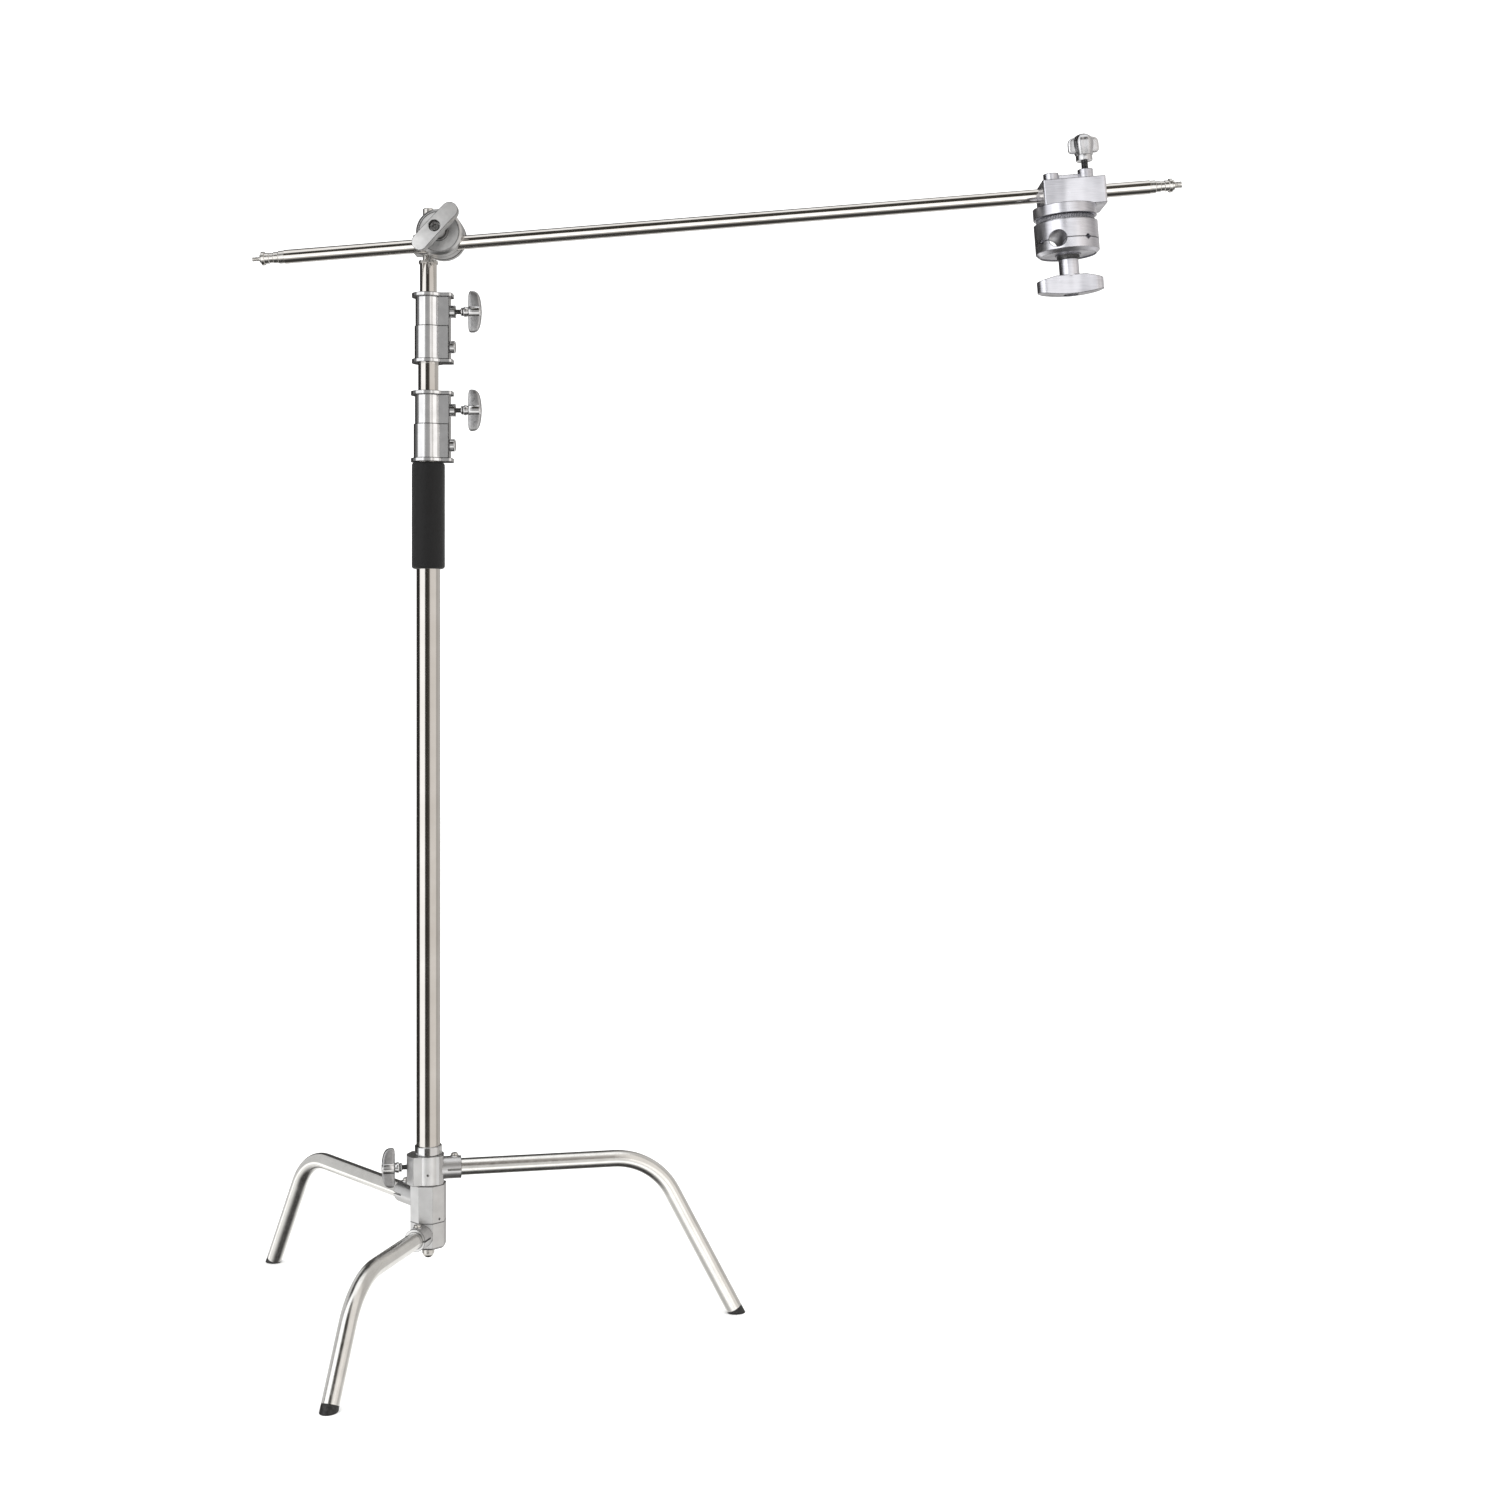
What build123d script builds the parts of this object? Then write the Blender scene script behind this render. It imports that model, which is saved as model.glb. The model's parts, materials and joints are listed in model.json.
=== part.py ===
from build123d import *
import math
import os

os.makedirs("parts", exist_ok=True)

# A studio C-stand: a telescopic column on a three-legged base, with a grip
# head that carries a long arm, and a second, larger grip head on the arm.
# Millimetres, +Z up. The origin is on the column's axis, at the floor. +X is
# the side the arm's long end points to, and -Y is the side the arm hangs on.

# ---- driving dimensions: tubes -------------------------------------------
LOWER_TUBE_R = 17.5
MIDDLE_TUBE_R = 15.0
TOP_TUBE_R = 12.5
TUBE_WALL = 1.5
LEG_R = 12.5
ARM_R = 10.0
STUD_R = 8.0
RUNNING = 0.05        # radial clearance of a sliding or turning fit
GAP = 0.3             # gap between parts that pass each other

# ---- driving dimensions: heights on the column ----------------------------
NUT_BOTTOM = 113.4
BASE_BOTTOM = 130.0
MIDDLE_CASTING_Z = 169.0
TOP_CASTING_Z = 224.0
RING_Z = 267.0
RING_TOP = 280.0
MIDDLE_TUBE_BOTTOM = 291.0
TOP_TUBE_BOTTOM = 411.0
SLEEVE_BOTTOM = 1133.7
SLEEVE_TOP = 1291.6
LOWER_COLLAR = {"bottom": 1292.0, "step": 1348.0, "top": 1396.5, "knob": 1369.0, "rivet": 1317.0}
UPPER_COLLAR = {"bottom": 1438.5, "step": 1493.0, "top": 1541.5, "knob": 1515.0, "rivet": 1462.6}
TOP_TUBE_END = 1590.0
STUD_END = 1668.2

# ---- driving dimensions: legs ---------------------------------------------
LEG_BEND_R = 100.0
LEG_END_Z = 7.5       # height of the tube's axis where the tube is cut
# azimuth, radius of the bend's corner, height of the level part, socket's end,
# and the slope of the lower part in degrees
TOP_LEG = (12.0, 338.0, 245.0, 48.0, 62.4)
MIDDLE_LEG = (131.6, 354.0, 198.0, 70.0, 59.5)
BOTTOM_LEG = (-105.3, 234.0, 150.8, 48.0, 60.9)

# ---- driving dimensions: arm and heads ------------------------------------
ARM_TILT_DEG = 4.605
ARM_Z = 1603.3        # height of the arm's axis where it passes the column
ARM_START = -202.0    # along the arm, from the column
ARM_LENGTH = 1265.0
HEAD_AXIS_X = 26.0    # the first head's turning axis, beside the column
JAW_PLANE = 49.5      # from the first head's bore to where its jaws meet
GROOVE_OFFSET = 14.9  # from a head's axis to the rod in its jaws
END_HEAD_AT = 932.0   # along the arm, from the column
END_SCALE = 1.37      # the second head is the bigger pattern of the same head
END_JAW_PLANE = 76.0  # from the second head's bore to where its jaws meet
END_SINK = 6.5        # its block is centred this far below its bore

tilt = math.radians(ARM_TILT_DEG)
arm_direction = Vector(math.cos(tilt), 0, math.sin(tilt))
arm_origin = Vector(0, -JAW_PLANE, ARM_Z)


# ---- small helpers ---------------------------------------------------------
def rod(radius, start, end, x=0.0, y=0.0):
    """A cylinder along Z from start to end."""
    base = (Align.CENTER, Align.CENTER, Align.MIN)
    return Pos(x, y, start) * Cylinder(radius, end - start, align=base)


def pipe(outer, inner, start, end):
    """A hollow cylinder along Z."""
    return rod(outer, start, end) - rod(inner, start - 1, end + 1)


def slab(x0, x1, y0, y1, z0, z1):
    """A box between six planes."""
    base = (Align.MIN, Align.MIN, Align.MIN)
    return Pos(x0, y0, z0) * Box(x1 - x0, y1 - y0, z1 - z0, align=base)


def turned(steps, start=0.0):
    """A solid of revolution along Z from (radius, length) steps."""
    solid = rod(steps[0][0], start, start + steps[0][1])
    z = start + steps[0][1]
    for radius, length in steps[1:]:
        solid = solid + rod(radius, z, z + length)
        z = z + length
    return solid


def octagon(across, z0, z1):
    """An eight-sided prism round the Z axis, with a flat towards +X."""
    outline = RegularPolygon(across / 2, 8, major_radius=False)
    return Pos(0, 0, z0) * extrude(Rot(0, 0, 22.5) * outline, z1 - z0)


def axis_frame(origin, x_dir, z_dir):
    """A placement whose local X and Z run along the two directions."""
    return Plane(origin=origin, x_dir=x_dir, z_dir=z_dir).location


def save(solid, node, colour):
    """Writes one node's STEP file."""
    if isinstance(solid, ShapeList):
        solid = Compound(children=list(solid))
    solid.label = node
    solid.color = Color(*colour)
    export_step(solid, "parts/" + node + ".step")


STEEL = (0.75, 0.75, 0.74)
CHROME = (0.82, 0.82, 0.83)
CAST = (0.68, 0.68, 0.68)
BLACK = (0.05, 0.05, 0.05)
NYLON = (0.88, 0.88, 0.84)
BRASS = (0.75, 0.62, 0.35)


# ---- knobs -----------------------------------------------------------------
def wing_knob(reach, hub_start, hub_r, wing_start, wing_depth, span, thick):
    """A T-shaped cast knob on a turned screw, with its axis along local Z.

    The wing's inner face is flat and its outer face is a wide arc.
    """
    screw = rod(3.9, reach, hub_start)
    hub = rod(hub_r, hub_start, wing_start + 1)
    half = span / 2
    end_depth = wing_depth * 0.42
    outline = Polyline(
        (-half + 2, wing_start), (half - 2, wing_start), (half, wing_start + end_depth * 0.6),
        (half - 3, wing_start + end_depth),
    )
    crown = ThreePointArc(
        (half - 3, wing_start + end_depth), (0, wing_start + wing_depth),
        (-half + 3, wing_start + end_depth),
    )
    left = Polyline(
        (-half + 3, wing_start + end_depth), (-half, wing_start + end_depth * 0.6),
        (-half + 2, wing_start),
    )
    face = make_face([outline, crown, left])
    wing = extrude(Plane.XZ * face, thick / 2, both=True)
    # a round boss carries the screw's thrust through the middle of the wing
    boss = rod(thick * 0.72, wing_start, wing_start + wing_depth * 0.97)
    return screw, hub + wing + boss


def save_knob(name, place, **shape):
    screw, wing = wing_knob(**shape)
    save(place * screw, name + "_screw", STEEL)
    save(place * wing, name + "_wing", CHROME)


# ---- telescopic column -----------------------------------------------------
def clamp_collar(name, shape, tube_r, riser_r, body_r, band_r, flange_r):
    """A riser collar: a sleeve on the outer tube's end, a guide bushing for the
    inner tube, a full-height boss on the +X side, and a shoe that a knob
    presses against the inner tube."""
    bottom, step, top = shape["bottom"], shape["step"], shape["top"]
    boss_x = 32.2
    boss_half = 10.5
    body = rod(body_r, bottom, top) + rod(band_r, bottom, step)
    body += slab(0, boss_x, -boss_half, boss_half, bottom, top)
    body += slab(0, boss_x - 0.8, -boss_half - 1.2, boss_half + 1.2, bottom, step)
    for z in (bottom, top - 5.5):
        rim = rod(flange_r, z, z + 5.5)
        rim += slab(0, boss_x + 4.5, -boss_half - 4, boss_half + 4, z, z + 5.5)
        corners = rim.edges().filter_by(Axis.Z).group_by(Axis.X)[-1]
        body += fillet(corners, 5)
    shoulder = step + 2
    body -= rod(tube_r, bottom - 1, shoulder)
    body -= rod(riser_r + 1.9, shoulder - 1, top + 1)
    knob_axis = axis_frame((0, 0, shape["knob"]), (0, 0, 1), (1, 0, 0))
    body -= knob_axis * rod(3.95, 0, boss_x + 2)
    body -= knob_axis * rod(5.6, 0, riser_r + 7)
    save(body, name + "_collar", CHROME)

    liner = pipe(riser_r + 1.9, riser_r + RUNNING, shoulder, top - 0.5)
    liner -= knob_axis * rod(6.4, 0, boss_x)
    save(liner, name + "_collar_liner", NYLON)

    shoe = knob_axis * rod(5.5, riser_r + 0.15, riser_r + 6.5)
    shoe -= rod(riser_r + 0.15, shape["knob"] - 12, shape["knob"] + 12)
    save(shoe, name + "_lock_shoe", BRASS)

    rivet_axis = axis_frame((0, 0, shape["rivet"]), (0, 1, 0), (1, 0, 0))
    head = chamfer(rod(9.2, boss_x, boss_x + 8).edges().group_by(Axis.Z)[-1], 1.2)
    save(rivet_axis * head, name + "_collar_rivet", CHROME)

    washer = rod(9.4, boss_x, boss_x + 8) - rod(3.95, boss_x - 1, boss_x + 9)
    save(knob_axis * washer, name + "_knob_bush", CHROME)
    save_knob(
        name + "_knob", knob_axis, reach=riser_r + 6.6, hub_start=48.5, hub_r=7.6,
        wing_start=59.0, wing_depth=20.0, span=61.5, thick=14.0,
    )


def column_tubes():
    """The fixed tube and the two risers, one inside the other."""
    inner = LOWER_TUBE_R - TUBE_WALL
    tube = pipe(LOWER_TUBE_R, inner, BASE_BOTTOM + 4, LOWER_COLLAR["step"] + 2)
    save(tube, "lower_tube", STEEL)

    middle_bottom = MIDDLE_TUBE_BOTTOM
    middle_inner = MIDDLE_TUBE_R - TUBE_WALL
    middle = pipe(MIDDLE_TUBE_R, middle_inner, middle_bottom, UPPER_COLLAR["step"] + 2)
    save(middle, "middle_tube", STEEL)
    guide = pipe(inner - RUNNING, 11.0, middle_bottom - 22, middle_bottom)
    guide += pipe(middle_inner, 11.0, middle_bottom - 4, middle_bottom + 14)
    save(guide, "middle_tube_guide", NYLON)

    top_bottom = TOP_TUBE_BOTTOM
    top = pipe(TOP_TUBE_R, TOP_TUBE_R - TUBE_WALL, top_bottom, TOP_TUBE_END - 4)
    save(top, "top_tube", STEEL)
    guide = pipe(middle_inner - RUNNING, 8.0, top_bottom - 22, top_bottom)
    guide += pipe(TOP_TUBE_R - TUBE_WALL, 8.0, top_bottom - 4, top_bottom + 14)
    save(guide, "top_tube_guide", NYLON)

    stud = rod(TOP_TUBE_R - TUBE_WALL, TOP_TUBE_END - 40, TOP_TUBE_END - 4)
    stud += rod(14.2, TOP_TUBE_END - 4, TOP_TUBE_END)
    shaft = rod(STUD_R, TOP_TUBE_END, STUD_END)
    stud += chamfer(shaft.edges().group_by(Axis.Z)[-1], 1.5)
    save(stud, "top_stud", STEEL)


def grip_sleeve():
    """The soft grip round the fixed tube, with rounded ends."""
    sleeve = rod(24.4, SLEEVE_BOTTOM, SLEEVE_TOP)
    sleeve = fillet(sleeve.edges().filter_by(GeomType.CIRCLE), 4.5)
    save(sleeve - rod(LOWER_TUBE_R, SLEEVE_BOTTOM - 1, SLEEVE_TOP + 1), "grip_sleeve", BLACK)


# ---- base ------------------------------------------------------------------
def leg_frame(azimuth):
    """Local X points out along the leg, local Z up."""
    return Rot(0, 0, azimuth)


def leg(name, spec):
    """A bent tube: a level part, a bend, and a straight part down to the floor."""
    azimuth, corner, height, socket_end, slope = spec
    drop = math.radians(slope)
    tangent = LEG_BEND_R * math.tan(drop / 2)
    run = (height - LEG_END_Z) / math.sin(drop)
    start = (24.0, 0, height)
    bend_start = (corner - tangent, 0, height)
    down = Vector(math.cos(drop), 0, -math.sin(drop))
    bend_end = Vector(corner, 0, height) + down * tangent
    foot = Vector(corner, 0, height) + down * run
    path = Line(start, bend_start)
    path += TangentArc(bend_start, tuple(bend_end), tangent=(1, 0, 0))
    path += Line(tuple(bend_end), tuple(foot))
    wall = Circle(LEG_R) - Circle(LEG_R - TUBE_WALL)
    section = axis_frame(start, (0, 1, 0), (1, 0, 0)) * wall
    tube = sweep(section, path=path)
    place = leg_frame(azimuth)
    save(place * tube, name, STEEL)

    end = axis_frame(foot, (0, 1, 0), down)
    plug = rod(LEG_R - TUBE_WALL, -18, 0) + rod(LEG_R - 0.1, 0, 22)
    plug = end * plug - slab(corner - 100, corner + 400, -50, 50, -60, 0)
    save(place * plug, name + "_foot", BLACK)
    print(name, "foot contact at radius", round(foot.X + LEG_END_Z / math.tan(drop), 1))


def socket(spec, outer):
    """The half-round arm of a casting that a leg is clamped in."""
    azimuth, corner, height, socket_end, slope = spec
    along = axis_frame((0, 0, height), (0, 1, 0), (1, 0, 0))
    sleeve = along * rod(outer, 0, socket_end)
    pad = rod(6.0, height + outer - 4, height + outer + 1.5, x=socket_end - 9.5)
    return sleeve + pad


def finish_socket(casting, spec, outer, tube_bore):
    """Cuts the leg's bore, the clamping slit and the screw's hole."""
    azimuth, corner, height, socket_end, slope = spec
    along = axis_frame((0, 0, height), (0, 1, 0), (1, 0, 0))
    casting -= along * rod(LEG_R, 24, socket_end + 5)
    casting -= slab(socket_end - 20, socket_end + 5, -outer - 2, outer + 2, height - 1, height + 1)
    casting -= rod(2.5, height + 5, height + outer + 5, x=socket_end - 9.5)
    return casting - rod(tube_bore, BASE_BOTTOM - 1, RING_TOP)


def socket_screw(name, spec, outer):
    """A pan-head screw through the top of the socket."""
    azimuth, corner, height, socket_end, slope = spec
    top = height + outer + 1.5
    head = rod(5.0, top, top + 3.2, x=socket_end - 9.5)
    head = fillet(head.edges().group_by(Axis.Z)[-1], 1.4)
    screw = head + rod(2.5, height + LEG_R + 0.05, top, x=socket_end - 9.5)
    screw -= slab(socket_end - 16, socket_end, -0.6, 0.6, top + 2.0, top + 4)
    save(leg_frame(azimuth) * screw, name, CHROME)


def bottom_casting():
    """Carries the fixed leg and the tube's lower end."""
    outer = 16.5
    body = octagon(50, BASE_BOTTOM, MIDDLE_CASTING_Z)
    body = chamfer(body.edges().group_by(Axis.Z)[0], 3)
    body = Rot(0, 0, BOTTOM_LEG[0]).inverse() * Rot(0, 0, -90) * body
    body += socket(BOTTOM_LEG, outer)
    body = finish_socket(body, BOTTOM_LEG, outer, 5.0)
    body -= rod(LOWER_TUBE_R, BASE_BOTTOM + 4, MIDDLE_CASTING_Z + 1)
    save(leg_frame(BOTTOM_LEG[0]) * body, "bottom_leg_casting", CAST)
    leg("bottom_leg", BOTTOM_LEG)
    socket_screw("bottom_socket_screw", BOTTOM_LEG, outer)

    nut = rod(9.0, NUT_BOTTOM + 7, BASE_BOTTOM) + rod(8.0, NUT_BOTTOM, NUT_BOTTOM + 7)
    nut = fillet(nut.edges().group_by(Axis.Z)[0], 6.5)
    nut += rod(5.0, BASE_BOTTOM, BASE_BOTTOM + 30)
    nut += rod(LOWER_TUBE_R - TUBE_WALL, BASE_BOTTOM + 4, BASE_BOTTOM + 12)
    save(nut, "base_nut", CHROME)


def middle_casting():
    """Turns round the tube and carries the second leg."""
    outer = 16.5
    body = octagon(50, MIDDLE_CASTING_Z + GAP, TOP_CASTING_Z - GAP)
    body = Rot(0, 0, -MIDDLE_LEG[0]) * Rot(0, 0, -90) * body
    body += socket(MIDDLE_LEG, outer)
    body = finish_socket(body, MIDDLE_LEG, outer, LOWER_TUBE_R + RUNNING)
    body = leg_frame(MIDDLE_LEG[0]) * body
    pin = axis_frame((20, -18, MIDDLE_CASTING_Z + 5.5), (0, 0, 1), (0.6, -0.8, 0)) * rod(1.4, -4, 12)
    save(body - pin, "middle_leg_casting", CAST)
    leg("middle_leg", MIDDLE_LEG)
    socket_screw("middle_socket_screw", MIDDLE_LEG, outer)


def top_casting():
    """Turns and slides on the tube, carries the third leg and the base's lock."""
    outer = 16.5
    z0 = TOP_CASTING_Z
    z1 = RING_Z - GAP
    body = slab(-31.6, 21, -20.5, 20.5, z0, z1)
    knob_side = body.edges().filter_by(Axis.Z).group_by(Axis.X)[0]
    body = chamfer(knob_side, 15, 8.5)
    leg_side = body.edges().filter_by(Axis.Z).group_by(Axis.X)[-1]
    body = chamfer(leg_side, 6)
    body += rod(23.0, z0, z1)
    body += socket(TOP_LEG, outer)
    body = finish_socket(body, TOP_LEG, outer, LOWER_TUBE_R + RUNNING)
    lock_z = z0 + 24.5
    lock_axis = axis_frame((0, 0, lock_z), (0, 0, 1), (-1, 0, 0))
    body -= lock_axis * rod(3.95, 0, 60)
    body -= lock_axis * rod(5.6, 0, LOWER_TUBE_R + 7)
    pin = axis_frame((-2, -19, z0 + 16), (1, 0, 0), (0, -1, 0)) * rod(1.4, -3, 6)
    body -= pin
    place = leg_frame(TOP_LEG[0])
    save(place * body, "top_leg_casting", CAST)
    leg("top_leg", TOP_LEG)
    socket_screw("top_socket_screw", TOP_LEG, outer)

    shoe = lock_axis * rod(5.5, LOWER_TUBE_R + 0.15, LOWER_TUBE_R + 6.5)
    shoe -= rod(LOWER_TUBE_R + 0.15, lock_z - 12, lock_z + 12)
    save(place * shoe, "base_lock_shoe", BRASS)
    save_knob(
        "base_knob", place * lock_axis, reach=LOWER_TUBE_R + 6.6, hub_start=38.5, hub_r=7.6,
        wing_start=48.5, wing_depth=20.0, span=58.0, thick=14.0,
    )
    ring = pipe(19.9, LOWER_TUBE_R + RUNNING, RING_Z, RING_TOP)
    ring = chamfer(ring.edges().group_by(Axis.Z)[-1], 0.8)
    save(ring, "slide_ring", CHROME)


# ---- grip heads --------------------------------------------------------------
def grip_head(
    name, place, size, offset, bore_r, block, sink, plane, screw_v, spare_boss, grooves,
    jaw_turn, handle,
):
    """A grip head in its own frame: local X runs from the bore to the head's
    turning axis, local Y along the bore, and local Z along the turning axis,
    from the receiver towards the T-handle. The jaws meet at the plane, and
    the block's middle is sunk below the bore."""
    q = size
    bolt_r = 4.5 * q
    back, front = sink - 14 * q, sink + 14 * q
    disc, ring = sink + 25 * q, sink + 31.2 * q

    # receiver: a block with the bore, a screw boss, and the turning disc
    x0, x1 = -offset - 20.5 * q, 15 * q
    body = slab(x0, x1, block[0], block[1], back, front)
    body = fillet(body.edges().filter_by(Axis.Z), 3 * q)
    body += rod(33.2 * q, front - 0.01, disc)
    body += rod(8.2 * q, -24 * q, back, x=-offset, y=screw_v)
    if spare_boss is not None:
        body += rod(8.2 * q, -22 * q, back, x=-offset, y=spare_boss)
        low, high = sorted((screw_v, spare_boss))
        body += slab(-offset - 2 * q, -offset + 2 * q, low, high, -20 * q, back)
    along_bore = axis_frame((-offset, 0, 0), (1, 0, 0), (0, 1, 0))
    body -= along_bore * rod(bore_r + RUNNING, -200, 200)
    body -= rod(3.8 * q + RUNNING, -40 * q, 0, x=-offset, y=screw_v)
    if spare_boss is not None:
        body -= rod(3.8 * q, -40 * q, -12 * q, x=-offset, y=spare_boss)
    body -= rod(bolt_r + RUNNING, -40 * q, disc + 1)
    body -= rod(8 * q + GAP, back - 1, back + 5 * q)
    save(place * body, name + "_receiver", CAST)

    # wing screw that locks the bore
    tip = bore_r + 0.35
    screw_place = place * axis_frame((-offset, screw_v, 0), (0, 1, 0), (0, 0, -1))
    screw = rod(3.8 * q, tip, 33 * q)
    save(screw_place * screw, name + "_lock_screw", STEEL)
    wing = rod(9 * q, 33 * q, 41 * q)
    wing += slab(-17 * q, 17 * q, -4 * q, 4 * q, 40 * q, 62 * q)
    wing = fillet(wing.edges().filter_by(Axis.Y), 5 * q)
    wing += rod(6.5 * q, 40 * q, 60 * q)
    save(screw_place * wing, name + "_lock_wing", CHROME)

    # jaws: two thick discs with matching grooves, drawn together by a bolt
    turned_place = place * Rot(0, 0, jaw_turn)
    toothed = rod(28.5 * q, disc + GAP, ring)
    toothed -= rod(bolt_r, 0, 100 * q)
    for at in PolarLocations(28.5 * q, 40):
        toothed -= at * slab(-1.2 * q, 2 * q, -1.1 * q, 1.1 * q, disc + 1.5 * q, ring + 1)
    back_jaw = rod(33.5 * q, ring, plane - 0.1)
    front_jaw = rod(33.5 * q, plane + 0.1, 69.5 * q)
    front_jaw = chamfer(front_jaw.edges().group_by(Axis.Z)[-1], 3.5 * q)
    back_jaw -= rod(bolt_r, 0, 100 * q)
    front_jaw -= rod(bolt_r + RUNNING, 0, 100 * q)
    for groove_y, groove_r, sides in grooves:
        cutter = axis_frame((0, groove_y, plane), (0, 1, 0), (1, 0, 0))
        if sides == 0:
            bit = cutter * rod(groove_r, -60 * q, 60 * q)
        else:
            bit = cutter * extrude(RegularPolygon(groove_r, sides), 60 * q, both=True)
            bit -= slab(-9 * q, 9 * q, -60 * q, 60 * q, 0, 100 * q)
        back_jaw -= bit
        front_jaw -= bit
    dish = pipe(29 * q, 13.5 * q, 68.2 * q, 75 * q)
    front_jaw -= dish
    save(turned_place * toothed, name + "_tooth_ring", CHROME)
    save(turned_place * back_jaw, name + "_back_jaw", CAST)
    save(turned_place * front_jaw, name + "_front_jaw", CAST)

    washer = pipe(12 * q, bolt_r + RUNNING, 69.5 * q, 73.5 * q)
    save(turned_place * washer, name + "_thrust_washer", STEEL)
    bolt = rod(8 * q, back + 0.6 * q, back + 5 * q - GAP)
    bolt += rod(bolt_r, back + q, 103.5 * q)
    bolt += rod(6.2 * q, 103.5 * q, 107.5 * q)
    bolt -= Pos(0, 0, 104 * q) * extrude(RegularPolygon(3.4 * q, 6), 10 * q)
    save(turned_place * bolt, name + "_bolt", STEEL)

    # T-handle: a boat-shaped bar on a turned stem
    length, width, angle = handle
    bar = extrude(SlotOverall(length, width), 20 * q)
    bar = Pos(0, 0, 90.8 * q) * bar
    half = length / 2
    side = Polyline(
        (-half - 1, 95.5 * q), (-half * 0.45, 90.8 * q), (half * 0.45, 90.8 * q), (half + 1, 95.5 * q),
    )
    crown = ThreePointArc((half + 1, 106.5 * q), (0, 110.8 * q), (-half - 1, 106.5 * q))
    right = Line((half + 1, 95.5 * q), (half + 1, 106.5 * q))
    left = Line((-half - 1, 106.5 * q), (-half - 1, 95.5 * q))
    profile = make_face([side, right, crown, left])
    bar = bar & extrude(Plane.XZ * profile, width, both=True)
    bar += rod(10.5 * q, 73.5 * q + GAP, 92 * q)
    bar -= rod(bolt_r + RUNNING, 0, 120 * q)
    bar -= rod(8 * q, 99.5 * q, 120 * q)
    save(place * Rot(0, 0, angle) * bar, name + "_handle", CAST)


def heads():
    """The first head on the stud and the second on the arm."""
    pivot = axis_frame(
        (HEAD_AXIS_X, 0, ARM_Z + HEAD_AXIS_X * math.tan(tilt) + GROOVE_OFFSET / math.cos(tilt)),
        (1, 0, 0), (0, -1, 0),
    )
    grip_head(
        "pivot", pivot, size=1.0, offset=HEAD_AXIS_X, bore_r=STUD_R, block=(-21.8, 6.5),
        sink=0.0, plane=JAW_PLANE, screw_v=-8.0, spare_boss=None,
        grooves=[(-GROOVE_OFFSET, ARM_R + RUNNING, 0), (18.0, 4.0, 4), (29.5, 3.0, 4)],
        jaw_turn=ARM_TILT_DEG, handle=(86.0, 23.0, 47.0),
    )
    down = Vector(math.sin(tilt), 0, -math.cos(tilt))
    offset = 20 * END_SCALE
    centre = arm_origin + arm_direction * END_HEAD_AT + Vector(0, -offset, 0)
    end = axis_frame(centre, (0, -1, 0), down)
    grip_head(
        "end", end, size=END_SCALE, offset=offset, bore_r=ARM_R, block=(-60.0, 31.0),
        sink=END_SINK, plane=END_JAW_PLANE, screw_v=-39.5, spare_boss=11.0,
        grooves=[(19.0, 12.0, 0), (-24.0, 3.8, 4), (39.0, 3.2, 4)],
        jaw_turn=0.0, handle=(96.5, 28.0, 90.0),
    )


# ---- arm ---------------------------------------------------------------------
def arm():
    """A straight tube with a turned stud in each end."""
    place = axis_frame(arm_origin, (0, -1, 0), arm_direction)
    end = ARM_START + ARM_LENGTH
    tube = pipe(ARM_R, ARM_R - TUBE_WALL, ARM_START, end)
    save(place * tube, "arm_tube", STEEL)
    inside = ARM_R - TUBE_WALL
    large = turned([(inside, 30), (9.3, 9), (8.0, 19), (10.0, 5), (7.5, 3), (4.7625, 11)], end - 30)
    save(place * large, "arm_large_stud", STEEL)
    small = turned([(inside, 30), (9.3, 9), (8.0, 20), (10.0, 5), (6.0, 2.5), (3.175, 11)], -30)
    flip = Pos(0, 0, ARM_START) * Rot(180, 0, 0)
    save(place * flip * small, "arm_small_stud", STEEL)


column_tubes()
grip_sleeve()
clamp_collar("lower", LOWER_COLLAR, LOWER_TUBE_R, MIDDLE_TUBE_R, 19.7, 21.6, 25.5)
clamp_collar("upper", UPPER_COLLAR, MIDDLE_TUBE_R, TOP_TUBE_R, 18.9, 20.2, 24.2)
bottom_casting()
middle_casting()
top_casting()
heads()
arm()
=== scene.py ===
# %% [markdown]
# A C-stand is the workhorse of a lighting studio: a telescopic steel column on
# three bent legs that nest, with clamping heads and a long arm at the top. The
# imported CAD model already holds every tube, casting and screw in its true
# place, so this lesson loads it and gives it its looks: real finishes, finer
# knobs and screw threads, a foam grip, a camera and soft studio light.

# %% load the model
import json
import math

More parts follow.
